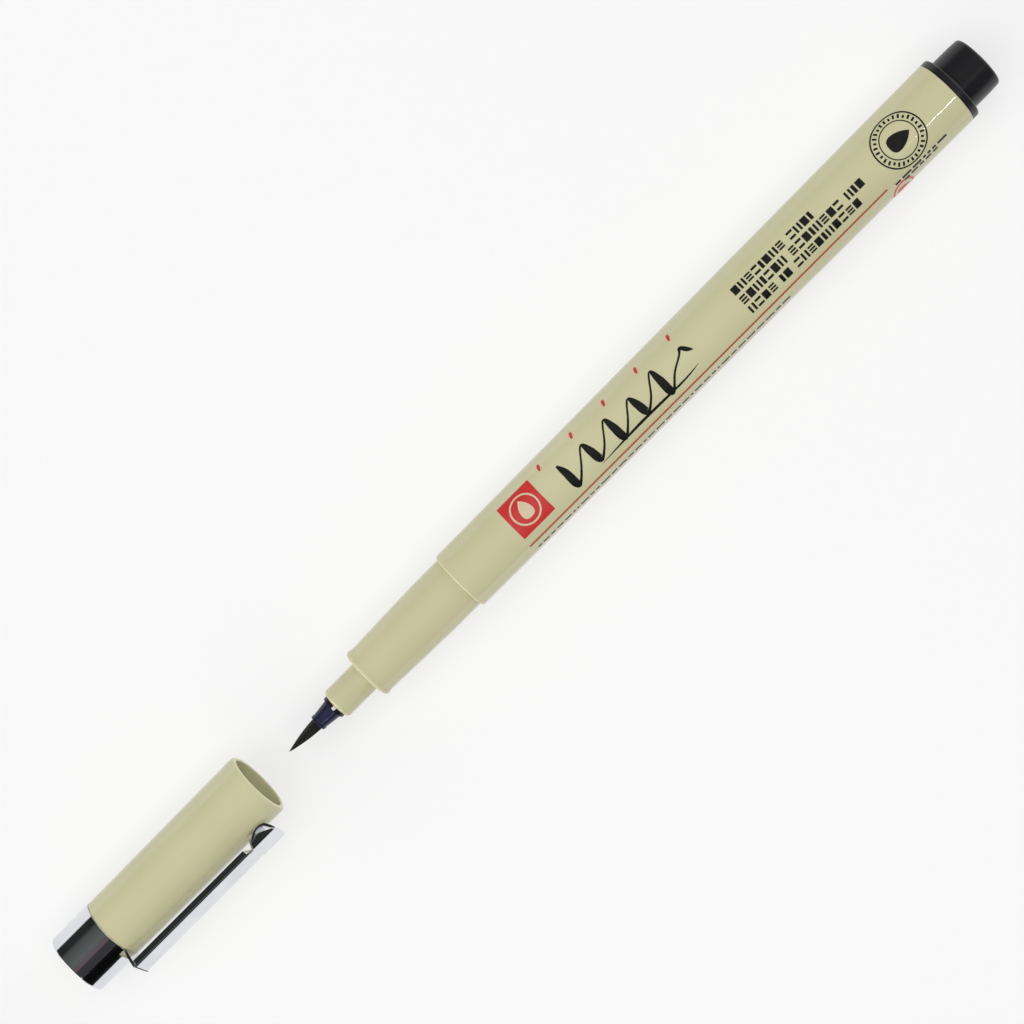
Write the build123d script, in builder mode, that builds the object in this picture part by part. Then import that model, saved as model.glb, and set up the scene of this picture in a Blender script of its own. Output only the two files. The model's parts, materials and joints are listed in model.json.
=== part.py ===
"""Calligraphy marker: a brush pen with its cap drawn off, in line ahead of the brush.

Millimetres. The pen's axis is X. The origin is on that axis at the barrel's front shoulder, where the cap's
mouth seats. +X runs to the tail, +Z is up. The cap is drawn straight off along -X.
"""

import os
from math import cos, radians, sin

from build123d import *

os.makedirs("parts", exist_ok=True)

# ------------------------------------------------------------------ driving sizes: pen
barrel_length = 93.7
barrel_bore = 7.70
barrel_front_wall = 0.825
barrel_rear_wall = 1.275
barrel_edge_round = 0.15
rib_width = 0.6  # lengthwise ribs in the barrel that centre the ink core
rib_count = 4

seat_step = 0.465  # height of the shoulder that the cap's mouth meets
grip_length = 18.2
grip_land_length = 5.0  # cylindrical stretch that carries the cap
grip_front_dia = 7.71
grip_lip_dia = 8.03
grip_lip_length = 0.7
grip_stem_length = 7.5
grip_stem_wall = 1.1

nose_length = 5.98
nose_dia = 4.75
nose_tip_dia = 3.8
nose_tip_round = 0.45

holder_length = 3.0
holder_mouth_wall = 0.225
holder_flare = 0.31  # radial growth from the holder's mouth to its rear
holder_stem_wall = 0.3
holder_stem_length = 6.0

vent_ring_length = 0.58
vent_ring_wall = 0.48
vent_notch_width = 0.8
vent_notch_depth = 0.25

brush_length = 5.64
brush_dia = 1.78
brush_tip_dia = 0.10
brush_root_length = 3.2
feed_rod_dia = 1.1
feed_in_core = 8.0

core_length = 76.4
film_wall = 0.12

flange_length = 1.15
flange_step = 0.03  # how far the flange stays under the barrel's rear edge
flange_round = 0.3
spigot_length = 4.95
spigot_land_length = 3.0  # cylindrical stretch that a posted cap grips
spigot_end_dia = 8.1
spigot_round = 0.4
plug_stem_length = 7.5
plug_wall = 1.2
plug_end_wall = 1.2
plug_fin_width = 0.8
plug_fin_count = 4

# ------------------------------------------------------------------ driving sizes: cap
cap_wall = 0.79
cap_end_wall = 0.9
cap_mouth_round = 0.25
neck_wall = 0.975
neck_step = 0.235  # from the neck up to the tube beside the ferrule
inner_cap_wall = 0.95
inner_cap_end_wall = 0.6
seal_lip_length = 1.0

ferrule_length = 7.1
ferrule_sheet = 0.30
ferrule_end_sheet = 0.6
ferrule_round = 0.22
ferrule_notch_length = 1.0

disc_dia = 5.9
disc_proud = 0.65
disc_round = 0.25
disc_stem_dia = 4.0

clip_width = 3.4
clip_sheet = 0.4
clip_height = 2.79  # outer face above the cap's surface at its mouth
clip_wall_depth = 1.15
clip_tab_length = 4.6
clip_end_inset = 1.8  # free end, measured back from the cap's mouth
clip_foot_length = 4.2
clip_wall_inset = 0.8  # the side walls stop this far from the foot and from the riser
clip_elevation = 34.0  # degrees above the table, on the -Y side

# ------------------------------------------------------------------ clearances
seat_gap = 0.02  # pieces pressed or pushed together in one body
core_gap = 0.30  # barrel bore to film sleeve
cap_fit = 0.05  # radial, cap bore on the grip's land
post_fit = 0.095  # radial, cap bore on the tail spigot
seal_fit = 0.05  # radial, inner cap's lip on the nose
cavity_room = 0.28  # radial, inner cap's cavity round the nose
grip_room = 0.2  # inner cap's mouth ahead of the grip's front face
tip_room = 0.5  # end of the inner cap ahead of the brush
brush_room = 0.11  # radial, brush in the holder's mouth
brush_hinge_room = 0.04  # how much smaller the brush's ball is than its base
root_gap = 0.10  # between the brush's ball and its root
foot_gap = 0.04  # clip's foot above the cap
flex_gap = 0.10  # clip's arm above its riser
cap_gap = 6.0  # from the brush's tip to the mouth of the drawn-off cap

# ------------------------------------------------------------------ worked out: pen
barrel_front_dia = barrel_bore + 2 * barrel_front_wall
barrel_rear_dia = barrel_bore + 2 * barrel_rear_wall
stem_dia = barrel_bore - 2 * seat_gap
film_dia = barrel_bore - 2 * core_gap
core_dia = film_dia - 2 * film_wall - 2 * seat_gap
rib_height = core_gap - seat_gap
feed_bore = feed_rod_dia + 2 * seat_gap

grip_land_dia = barrel_front_dia - 2 * seat_step
grip_front_x = -grip_length
nose_front_x = grip_front_x - nose_length
holder_rear_x = nose_front_x - vent_ring_length
holder_front_x = holder_rear_x - holder_length
holder_stem_x = nose_front_x + holder_stem_length
holder_bore = brush_dia + 2 * brush_room
holder_front_dia = holder_bore + 2 * holder_mouth_wall
holder_rear_dia = holder_front_dia + 2 * holder_flare
holder_stem_dia = holder_bore + 2 * holder_stem_wall
ring_bore = holder_stem_dia + 2 * seat_gap
vent_ring_dia = ring_bore + 2 * vent_ring_wall
brush_tip_x = holder_front_x - brush_length
brush_ball_r = brush_dia / 2 - brush_hinge_room
brush_root_x = holder_front_x + brush_ball_r + root_gap
feed_front_x = brush_root_x + brush_root_length

core_front_x = grip_stem_length + seat_gap
core_rear_x = core_front_x + core_length
feed_rear_x = core_front_x + feed_in_core
plug_stem_x = barrel_length - plug_stem_length
flange_rear_x = barrel_length + flange_length
spigot_end_x = flange_rear_x + spigot_length

# ------------------------------------------------------------------ worked out: cap
cap_bore = grip_land_dia + 2 * cap_fit
spigot_dia = cap_bore - 2 * post_fit
cap_mouth_dia = cap_bore + 2 * cap_wall
cavity_dia = nose_dia + 2 * cavity_room
seal_dia = nose_dia + 2 * seal_fit
inner_cap_dia = cavity_dia + 2 * inner_cap_wall
cap_inner_dia = inner_cap_dia + 2 * seat_gap
neck_dia = cap_inner_dia + 2 * neck_wall
ferrule_bore = neck_dia + 2 * seat_gap
ferrule_dia = ferrule_bore + 2 * ferrule_sheet
cap_rear_dia = neck_dia + 2 * neck_step

# Depths are measured from the cap's mouth towards its closed end.
front_length = -brush_tip_x
cap_bore_depth = grip_length + grip_room
cavity_depth = front_length + tip_room
inner_cap_depth = cavity_depth + inner_cap_end_wall
tube_end_depth = inner_cap_depth + cap_end_wall
ferrule_end_depth = tube_end_depth + ferrule_end_sheet
ferrule_front_depth = ferrule_end_depth - ferrule_length
cap_mouth_x = brush_tip_x - cap_gap


def at_depth(depth):
    """The X station of a depth inside the drawn-off cap."""
    return cap_mouth_x - depth


def cap_radius(depth):
    """The outside radius of the cap's tapered tube at a depth."""
    return (cap_mouth_dia + (cap_rear_dia - cap_mouth_dia) * depth / ferrule_front_depth) / 2


def rim(part, x, radius):
    """The round edges of a part at one station and radius."""
    circles = part.edges().filter_by(GeomType.CIRCLE)
    return circles.filter_by(lambda e: abs(e.arc_center.X - x) < 0.001 and abs(e.radius - radius) < 0.001)


# ------------------------------------------------------------------ pen: barrel
with BuildPart() as barrel:
    with BuildSketch():
        with BuildLine():
            Polyline(
                (0, barrel_bore / 2),
                (0, barrel_front_dia / 2),
                (barrel_length, barrel_rear_dia / 2),
                (barrel_length, barrel_bore / 2),
                close=True,
            )
        make_face()
    revolve(axis=Axis.X)
    fillet(rim(barrel, 0, barrel_front_dia / 2), barrel_edge_round)
    # Lengthwise ribs that keep the ink core off the wall.
    with BuildSketch(Plane.YZ.offset(core_front_x)):
        with PolarLocations(0, rib_count):
            with Locations((barrel_bore / 2 - rib_height / 2, 0)):
                Rectangle(rib_height + rib_width / 2, rib_width)
        Circle(film_dia / 2 + seat_gap, mode=Mode.SUBTRACT)
    extrude(amount=core_length)
barrel.part.label = "barrel"
export_step(barrel.part, "parts/barrel.step")

# ------------------------------------------------------------------ pen: grip section with lip and nose
with BuildPart() as grip_section:
    with BuildSketch():
        with BuildLine():
            Polyline(
                (grip_stem_length, stem_dia / 2 - grip_stem_wall),
                (grip_stem_length, stem_dia / 2),
                (-seat_gap, stem_dia / 2),
                (-seat_gap, grip_land_dia / 2),
                (-grip_land_length, grip_land_dia / 2),
                (grip_front_x + grip_lip_length, grip_front_dia / 2),
                (grip_front_x + grip_lip_length, grip_lip_dia / 2),
                (grip_front_x, grip_lip_dia / 2),
                (grip_front_x, nose_dia / 2),
                (nose_front_x, nose_dia / 2),
                (nose_front_x, ring_bore / 2),
                (holder_stem_x + seat_gap, ring_bore / 2),
                (holder_stem_x + seat_gap, stem_dia / 2 - grip_stem_wall),
                close=True,
            )
        make_face()
    revolve(axis=Axis.X)
    chamfer(
        rim(grip_section, nose_front_x, nose_dia / 2),
        length=nose_tip_round,
        length2=(nose_dia - nose_tip_dia) / 2,
    )
    fillet(rim(grip_section, grip_front_x, grip_lip_dia / 2), grip_lip_length / 3)
    fillet(rim(grip_section, grip_front_x + grip_lip_length, grip_lip_dia / 2), grip_lip_length / 5)
grip_section.part.label = "grip_section"
export_step(grip_section.part, "parts/grip_section.step")

# ------------------------------------------------------------------ pen: brush holder and vent ring
with BuildPart() as brush_holder:
    with BuildSketch():
        with BuildLine():
            Polyline(
                (holder_front_x, holder_bore / 2),
                (holder_front_x, holder_front_dia / 2),
                (holder_rear_x, holder_rear_dia / 2),
                (holder_rear_x, holder_stem_dia / 2),
                (holder_stem_x, holder_stem_dia / 2),
                (holder_stem_x, feed_bore / 2),
                (feed_front_x + seat_gap, feed_bore / 2),
                (feed_front_x + seat_gap, holder_bore / 2),
                close=True,
            )
        make_face()
    revolve(axis=Axis.X)
brush_holder.part.label = "brush_holder"
export_step(brush_holder.part, "parts/brush_holder.step")

with BuildPart() as vent_ring:
    with BuildSketch(Plane.YZ.offset(holder_rear_x + seat_gap)):
        Circle(vent_ring_dia / 2)
        Circle(ring_bore / 2, mode=Mode.SUBTRACT)
        with Locations((0, vent_ring_dia / 2)):
            Rectangle(vent_notch_width, 2 * vent_notch_depth, mode=Mode.SUBTRACT)
    extrude(amount=vent_ring_length - 2 * seat_gap)
vent_ring.part.label = "vent_ring"
export_step(vent_ring.part, "parts/vent_ring.step")

# ------------------------------------------------------------------ pen: brush and ink feed
with BuildPart() as brush_tip:
    with BuildSketch():
        with BuildLine():
            Line((brush_tip_x, 0), (brush_tip_x, brush_tip_dia / 2))
            ThreePointArc(
                (brush_tip_x, brush_tip_dia / 2),
                (brush_tip_x + brush_length * 0.5, brush_dia * 0.36),
                (holder_front_x, brush_dia / 2),
            )
            Line((holder_front_x, brush_dia / 2), (holder_front_x, brush_ball_r))
            RadiusArc((holder_front_x, brush_ball_r), (holder_front_x + brush_ball_r, 0), brush_ball_r)
            Line((holder_front_x + brush_ball_r, 0), (brush_tip_x, 0))
        make_face()
    revolve(axis=Axis.X)
brush_tip.part.label = "brush_tip"
export_step(brush_tip.part, "parts/brush_tip.step")

with BuildPart() as brush_root:
    with BuildSketch(Plane.YZ.offset(brush_root_x)):
        Circle(holder_bore / 2 - seat_gap)
    extrude(amount=brush_root_length - seat_gap)
brush_root.part.label = "brush_root"
export_step(brush_root.part, "parts/brush_root.step")

with BuildPart() as feed_rod:
    with BuildSketch(Plane.YZ.offset(feed_front_x)):
        Circle(feed_rod_dia / 2)
    extrude(amount=feed_rear_x - feed_front_x)
    chamfer(feed_rod.faces().sort_by(Axis.X)[-1].edges(), feed_rod_dia / 5)
feed_rod.part.label = "feed_rod"
export_step(feed_rod.part, "parts/feed_rod.step")

with BuildPart() as ink_core:
    with BuildSketch(Plane.YZ.offset(core_front_x)):
        Circle(core_dia / 2)
    extrude(amount=core_length)
    with Locations(Plane.YZ.offset(core_front_x)):
        with Locations((0, 0, feed_in_core / 2)):
            Cylinder(feed_bore / 2, feed_in_core + 2 * seat_gap, mode=Mode.SUBTRACT)
ink_core.part.label = "ink_core"
export_step(ink_core.part, "parts/ink_core.step")

with BuildPart() as core_film:
    with BuildSketch(Plane.YZ.offset(core_front_x)):
        Circle(film_dia / 2)
        Circle(film_dia / 2 - film_wall, mode=Mode.SUBTRACT)
    extrude(amount=core_length)
core_film.part.label = "core_film"
export_step(core_film.part, "parts/core_film.step")

# ------------------------------------------------------------------ pen: tail plug
flange_dia = barrel_rear_dia - 2 * flange_step
plug_bore = stem_dia - 2 * plug_wall
with BuildPart() as tail_plug:
    with BuildSketch():
        with BuildLine():
            Polyline(
                (plug_stem_x, plug_bore / 2),
                (plug_stem_x, stem_dia / 2),
                (barrel_length + seat_gap, stem_dia / 2),
                (barrel_length + seat_gap, flange_dia / 2),
                (flange_rear_x, flange_dia / 2),
                (flange_rear_x, spigot_dia / 2),
                (flange_rear_x + spigot_land_length, spigot_dia / 2),
                (spigot_end_x, spigot_end_dia / 2),
                (spigot_end_x, 0),
                (spigot_end_x - plug_end_wall, 0),
                (spigot_end_x - plug_end_wall, plug_bore / 2),
                close=True,
            )
        make_face()
    revolve(axis=Axis.X)
    fillet(rim(tail_plug, flange_rear_x, flange_dia / 2), flange_round)
    fillet(rim(tail_plug, spigot_end_x, spigot_end_dia / 2), spigot_round)
    # Cross fins inside the stem, which hold the ink core forward and let air past it.
    with BuildSketch(Plane.YZ.offset(core_rear_x + seat_gap)):
        with PolarLocations(0, plug_fin_count):
            with Locations((stem_dia / 4, 0)):
                Rectangle(stem_dia / 2, plug_fin_width)
        Circle(stem_dia / 2, mode=Mode.INTERSECT)
    extrude(amount=barrel_length - core_rear_x - seat_gap)
tail_plug.part.label = "tail_plug"
export_step(tail_plug.part, "parts/tail_plug.step")

# ------------------------------------------------------------------ cap: tube, inner cap, ferrule, disc
clip_direction = (0, -cos(radians(clip_elevation)), sin(radians(clip_elevation)))
# Sketch plane across the clip: its x runs along the cap, its y stands off the cap at the clip.
clip_side = Plane(origin=(0, 0, 0), x_dir=(1, 0, 0), z_dir=Vector(1, 0, 0).cross(Vector(*clip_direction)))
# Sketch plane square to the cap at its mouth: its x stands off the cap at the clip.
clip_end = Plane(origin=(cap_mouth_x, 0, 0), x_dir=clip_direction, z_dir=(-1, 0, 0))

tab_slot_width = clip_width + 2 * seat_gap
tab_rear_depth = ferrule_front_depth + clip_tab_length

with BuildPart() as cap_tube:
    with BuildSketch():
        with BuildLine():
            Polyline(
                (at_depth(0), cap_bore / 2),
                (at_depth(0), cap_mouth_dia / 2),
                (at_depth(ferrule_front_depth - seat_gap), cap_rear_dia / 2),
                (at_depth(ferrule_front_depth - seat_gap), neck_dia / 2),
                (at_depth(tube_end_depth), neck_dia / 2),
                (at_depth(tube_end_depth), disc_stem_dia / 2 + seat_gap),
                (at_depth(inner_cap_depth + seat_gap), disc_stem_dia / 2 + seat_gap),
                (at_depth(inner_cap_depth + seat_gap), cap_inner_dia / 2),
                (at_depth(cap_bore_depth), cap_inner_dia / 2),
                (at_depth(cap_bore_depth), cap_bore / 2),
                close=True,
            )
        make_face()
    revolve(axis=Axis.X)
    fillet(rim(cap_tube, at_depth(0), cap_mouth_dia / 2), cap_mouth_round)
    # Slot in the neck for the clip's tab.
    with BuildSketch(clip_end.offset(ferrule_front_depth)):
        Rectangle(neck_dia, tab_slot_width, align=(Align.MIN, Align.CENTER))
        Circle(neck_dia / 2 - clip_sheet - seat_gap, mode=Mode.SUBTRACT)
    extrude(amount=clip_tab_length + seat_gap, mode=Mode.SUBTRACT)
cap_tube.part.label = "cap_tube"
export_step(cap_tube.part, "parts/cap_tube.step")

with BuildPart() as inner_cap:
    with BuildSketch():
        with BuildLine():
            Polyline(
                (at_depth(cap_bore_depth), seal_dia / 2),
                (at_depth(cap_bore_depth), inner_cap_dia / 2),
                (at_depth(inner_cap_depth), inner_cap_dia / 2),
                (at_depth(inner_cap_depth), 0),
                (at_depth(cavity_depth), 0),
                (at_depth(cavity_depth), cavity_dia / 2),
                (at_depth(cap_bore_depth + seal_lip_length), cavity_dia / 2),
                (at_depth(cap_bore_depth + seal_lip_length), seal_dia / 2),
                close=True,
            )
        make_face()
    revolve(axis=Axis.X)
inner_cap.part.label = "inner_cap"
export_step(inner_cap.part, "parts/inner_cap.step")

with BuildPart() as cap_ferrule:
    with BuildSketch():
        with BuildLine():
            Polyline(
                (at_depth(ferrule_front_depth), ferrule_bore / 2),
                (at_depth(ferrule_front_depth), ferrule_dia / 2),
                (at_depth(ferrule_end_depth), ferrule_dia / 2),
                (at_depth(ferrule_end_depth), disc_dia / 2 + seat_gap),
                (at_depth(tube_end_depth + seat_gap), disc_dia / 2 + seat_gap),
                (at_depth(tube_end_depth + seat_gap), ferrule_bore / 2),
                close=True,
            )
        make_face()
    revolve(axis=Axis.X)
    fillet(rim(cap_ferrule, at_depth(ferrule_end_depth), ferrule_dia / 2), ferrule_round)
    # Notch that the clip comes out of.
    with BuildSketch(clip_end.offset(ferrule_front_depth)):
        Rectangle(ferrule_dia, tab_slot_width, align=(Align.MIN, Align.CENTER))
    extrude(amount=ferrule_notch_length, mode=Mode.SUBTRACT)
cap_ferrule.part.label = "cap_ferrule"
export_step(cap_ferrule.part, "parts/cap_ferrule.step")

with BuildPart() as end_plug:
    with BuildSketch(Plane.YZ.offset(at_depth(tube_end_depth + seat_gap))):
        Circle(disc_dia / 2)
    extrude(amount=-(ferrule_end_sheet + disc_proud))
    fillet(end_plug.faces().sort_by(Axis.X)[0].edges(), disc_round)
    with BuildSketch(Plane.YZ.offset(at_depth(inner_cap_depth + 2 * seat_gap))):
        Circle(disc_stem_dia / 2)
    extrude(amount=-cap_end_wall)
end_plug.part.label = "end_plug"
export_step(end_plug.part, "parts/end_plug.step")

# ------------------------------------------------------------------ cap: clip
clip_outer_r = cap_mouth_dia / 2 + clip_height
clip_under_r = clip_outer_r - clip_sheet
riser_rear_depth = ferrule_front_depth + clip_sheet + seat_gap
riser_front_depth = riser_rear_depth - clip_sheet
foot_rear_depth = clip_end_inset + clip_foot_length
foot_depth = (foot_rear_depth + clip_end_inset) / 2
foot_r = cap_radius(foot_depth) + foot_gap

with BuildPart() as clip_anchor:
    # Tab, a curved strip in the neck's slot under the ferrule.
    with BuildSketch(clip_end.offset(riser_front_depth)):
        Circle(neck_dia / 2)
        Circle(neck_dia / 2 - clip_sheet, mode=Mode.SUBTRACT)
        Rectangle(neck_dia, clip_width, align=(Align.MIN, Align.CENTER), mode=Mode.INTERSECT)
    extrude(amount=tab_rear_depth - riser_front_depth)
    # Riser, through the ferrule's notch.
    with BuildSketch(clip_end.offset(riser_front_depth)):
        with Locations((neck_dia / 2 - clip_sheet, 0)):
            Rectangle(
                clip_under_r - flex_gap - neck_dia / 2 + clip_sheet,
                clip_width,
                align=(Align.MIN, Align.CENTER),
            )
        Circle(neck_dia / 2 - clip_sheet, mode=Mode.SUBTRACT)
    extrude(amount=clip_sheet)
clip_anchor.part.label = "clip_anchor"
export_step(clip_anchor.part, "parts/clip_anchor.step")

with BuildPart() as clip_arm:
    # Top of the channel.
    with BuildSketch(clip_side):
        with BuildLine():
            Polyline(
                (at_depth(riser_rear_depth), clip_under_r),
                (at_depth(riser_rear_depth), clip_outer_r),
                (at_depth(clip_end_inset), clip_outer_r),
                (at_depth(clip_end_inset), clip_under_r),
                close=True,
            )
        make_face()
    extrude(amount=clip_width / 2, both=True)
    # Side walls, bent down from both edges.
    with BuildSketch(clip_side.offset(clip_width / 2)):
        with BuildLine():
            Polyline(
                (at_depth(riser_front_depth - clip_wall_inset), clip_under_r),
                (at_depth(riser_front_depth - clip_wall_inset), clip_outer_r - clip_wall_depth),
                (at_depth(foot_rear_depth + clip_wall_inset), clip_outer_r - clip_wall_depth),
                (at_depth(foot_rear_depth + clip_wall_inset), clip_under_r),
                close=True,
            )
        make_face()
    extrude(amount=-clip_sheet)
    mirror(about=clip_side)
    # Foot, folded under the free end.
    with BuildSketch(clip_side):
        with BuildLine():
            ThreePointArc(
                (at_depth(foot_rear_depth), clip_under_r),
                (at_depth(foot_depth), foot_r),
                (at_depth(clip_end_inset), clip_under_r),
            )
            Line((at_depth(clip_end_inset), clip_under_r), (at_depth(foot_rear_depth), clip_under_r))
        make_face()
    extrude(amount=clip_width / 2 - clip_sheet, both=True)
    fillet(
        clip_arm.edges().filter_by(Axis(origin=(0, 0, 0), direction=clip_side.z_dir)).group_by(
            Axis(origin=(0, 0, 0), direction=clip_direction)
        )[-1],
        clip_sheet / 2,
    )
clip_arm.part.label = "clip_arm"
export_step(clip_arm.part, "parts/clip_arm.step")
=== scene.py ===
"""Calligraphy marker: the looks of the pen and its cap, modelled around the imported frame."""

import json
import math
import random

import bmesh
import bpy
from mathutils import Matrix, Vector


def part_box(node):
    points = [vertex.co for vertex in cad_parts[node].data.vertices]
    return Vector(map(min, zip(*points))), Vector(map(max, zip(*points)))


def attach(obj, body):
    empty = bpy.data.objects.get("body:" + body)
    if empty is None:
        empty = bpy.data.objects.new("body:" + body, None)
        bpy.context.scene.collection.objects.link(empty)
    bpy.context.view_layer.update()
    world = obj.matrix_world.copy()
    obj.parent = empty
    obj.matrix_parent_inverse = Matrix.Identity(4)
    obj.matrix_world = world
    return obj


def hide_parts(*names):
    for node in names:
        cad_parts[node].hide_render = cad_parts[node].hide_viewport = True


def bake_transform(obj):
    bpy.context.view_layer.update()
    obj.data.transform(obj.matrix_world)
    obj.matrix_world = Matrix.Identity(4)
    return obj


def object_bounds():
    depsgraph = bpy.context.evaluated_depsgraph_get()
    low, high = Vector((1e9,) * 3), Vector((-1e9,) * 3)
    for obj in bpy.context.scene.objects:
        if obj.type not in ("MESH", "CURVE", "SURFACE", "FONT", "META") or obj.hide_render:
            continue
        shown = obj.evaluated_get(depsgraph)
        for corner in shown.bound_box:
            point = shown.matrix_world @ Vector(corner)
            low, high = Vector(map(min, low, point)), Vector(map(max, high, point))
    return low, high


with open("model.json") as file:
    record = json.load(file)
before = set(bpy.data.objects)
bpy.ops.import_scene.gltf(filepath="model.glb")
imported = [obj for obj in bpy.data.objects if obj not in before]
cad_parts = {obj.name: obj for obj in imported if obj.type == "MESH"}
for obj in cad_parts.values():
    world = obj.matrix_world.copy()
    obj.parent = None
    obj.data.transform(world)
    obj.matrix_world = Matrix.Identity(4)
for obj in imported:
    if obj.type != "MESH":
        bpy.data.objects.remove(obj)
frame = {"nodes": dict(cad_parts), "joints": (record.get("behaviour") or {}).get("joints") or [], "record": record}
cad_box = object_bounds()

MM = 0.001
SIDES = 128  # facets round a turned piece


# ---------------------------------------------------------------- measures taken from the frame
def span(node):
    """A node's first and last station along the pen."""
    low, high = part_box(node)
    return low.x, high.x


def outer_radius(node):
    low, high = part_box(node)
    return (high.y - low.y) / 2


def hinge_of(joint_name):
    return next(j for j in frame["joints"] if j["name"] == joint_name)


grip_mount = next(m for m in frame["record"]["mounts"] if m["name"] == "cap_seat")
spigot_mount = next(m for m in frame["record"]["mounts"] if m["name"] == "tail_spigot")
clip_joint = hinge_of("clip_flex")

seat_x, barrel_rear_x = span("barrel")
barrel_rear_r = outer_radius("barrel")
grip_land_r = grip_mount["dims"]["r_mm"] * MM
barrel_front_r = grip_land_r + 0.465 * MM
barrel_bore_r = outer_radius("core_film") + 0.30 * MM
barrel_taper = (barrel_rear_r - barrel_front_r) / (barrel_rear_x - seat_x)

nose_front_x = span("grip_section")[0]
ring_front_x, ring_rear_x = span("vent_ring")
ring_r = outer_radius("vent_ring")
holder_front_x = span("brush_holder")[0]
holder_rear_r = outer_radius("brush_holder")
brush_tip_x = span("brush_tip")[0]
brush_r = outer_radius("brush_tip")

flange_r = outer_radius("tail_plug")
spigot_end_x = span("tail_plug")[1]
spigot_r = spigot_mount["dims"]["r_mm"] * MM

ferrule_end_x, cap_mouth_x = span("cap_ferrule")[0], span("cap_tube")[1]
ferrule_front_x = span("cap_ferrule")[1]
ferrule_r = outer_radius("cap_ferrule")
cap_mouth_r = outer_radius("cap_tube")
disc_end_x = span("end_plug")[0]
disc_r = outer_radius("end_plug")
inner_cap_mouth_x = span("inner_cap")[1]

clip_hinge = Vector(clip_joint["pos_m"])
clip_side = Vector((0, clip_hinge.y, clip_hinge.z)).normalized()
clip_turn = math.atan2(-clip_side.y, clip_side.z)  # from +Z round the pen's axis to the clip
clip_rear_x, clip_front_x = span("clip_arm")


# ---------------------------------------------------------------- modelling by hand
def start_fresh():
    if bpy.context.object and bpy.context.object.mode != "OBJECT":
        bpy.ops.object.mode_set(mode="OBJECT")
    bpy.ops.object.select_all(action="DESELECT")


def pick(piece, elements, wanted):
    """In edit mode, select only the vertices, edges or faces that pass a test."""
    bpy.ops.mesh.select_mode(type=elements.upper()[:-1])
    bpy.ops.mesh.select_all(action="DESELECT")
    mesh = bmesh.from_edit_mesh(piece.data)
    for element in getattr(mesh, elements):
        if wanted(element):
            element.select_set(True)
    mesh.select_flush_mode()
    bmesh.update_edit_mesh(piece.data)


def begin(name):
    """Name the primitive just added, put its place in its mesh and go into edit mode."""
    piece = bpy.context.object
    piece.name = name
    piece.data.name = name
    bpy.ops.object.transform_apply(location=True, rotation=True, scale=True)
    bpy.ops.object.mode_set(mode="EDIT")
    bpy.ops.mesh.select_all(action="SELECT")
    return piece


def turn(name, outline, rounds=(), sides=SIDES, closed=False):
    """Turn a piece on the pen's axis.

    The outline is (station, radius) points; each ring after the first is extruded and resized.
    A last radius of 0 closes that end, and closed puts a face over each end that is open.
    rounds are (station, radius, width) edges to round.
    """
    start_fresh()
    outline = with_supports(outline, rounds)
    x, r = outline[0]
    bpy.ops.mesh.primitive_circle_add(
        vertices=sides, radius=r, location=(x, 0, 0), rotation=(0, math.pi / 2, 0)
    )
    piece = begin(name)
    for next_x, next_r in outline[1:]:
        bpy.ops.mesh.extrude_region_move(
            TRANSFORM_OT_translate={"value": (next_x - x, 0, 0), "orient_type": "GLOBAL"}
        )
        factor = next_r / r
        bpy.ops.transform.resize(value=(1, factor, factor), center_override=(next_x, 0, 0))
        x, r = next_x, max(next_r, 1e-9)
    bpy.ops.mesh.select_all(action="SELECT")
    bpy.ops.mesh.remove_doubles(threshold=1e-7)
    if closed:
        close_ends(piece, outline[0][0], outline[-1][0])
    bpy.ops.mesh.select_all(action="SELECT")
    bpy.ops.mesh.normals_make_consistent(inside=False)
    for round_x, round_r, width in rounds:
        round_ring(piece, round_x, round_r, width)
    bpy.ops.object.mode_set(mode="OBJECT")
    smooth(piece)
    return piece


def close_ends(piece, *stations):
    """In edit mode, put a face over each open ring."""
    for station in stations:
        pick(
            piece,
            "edges",
            lambda e: e.is_boundary and all(abs(v.co.x - station) < 1e-7 for v in e.verts),
        )
        if any(e.select for e in bmesh.from_edit_mesh(piece.data).edges):
            bpy.ops.mesh.edge_face_add()


def with_supports(outline, rounds):
    """Add a ring close on each side of every corner to be rounded, so that the long faces stay true."""
    full = []
    for number, point in enumerate(outline):
        here = Vector(point)
        width = next((w for x, r, w in rounds if (here - Vector((x, r))).length < 1e-7), None)
        if width is None or not 0 < number < len(outline) - 1:
            full.append(point)
            continue
        for neighbour in (outline[number - 1], point, outline[number + 1]):
            way = Vector(neighbour) - here
            if neighbour is point:
                full.append(point)
            elif way.length > 3 * width:
                full.append(tuple(here + way.normalized() * width * 1.3))
    return full


def round_ring(piece, x, r, width, segments=4):
    """Round the ring of edges at one station and radius."""

    def on_ring(edge):
        return all(
            abs(v.co.x - x) < 1e-6 and abs(math.hypot(v.co.y, v.co.z) - r) < 2e-6 for v in edge.verts
        )

    pick(piece, "edges", on_ring)
    bpy.ops.mesh.bevel(offset=width, segments=segments, affect="EDGES", profile=0.5)


def smooth(piece, angle=30):
    start_fresh()
    piece.select_set(True)
    bpy.context.view_layer.objects.active = piece
    bpy.ops.object.shade_smooth_by_angle(angle=math.radians(angle))


def finish_modifiers(piece):
    start_fresh()
    piece.select_set(True)
    bpy.context.view_layer.objects.active = piece
    for modifier in list(piece.modifiers):
        bpy.ops.object.modifier_apply(modifier=modifier.name)


def cut(piece, cutter):
    """Take the cutter's shape out of the piece."""
    difference = piece.modifiers.new("cut", "BOOLEAN")
    difference.object = cutter
    difference.solver = "EXACT"
    finish_modifiers(piece)
    bpy.data.objects.remove(cutter)


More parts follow.
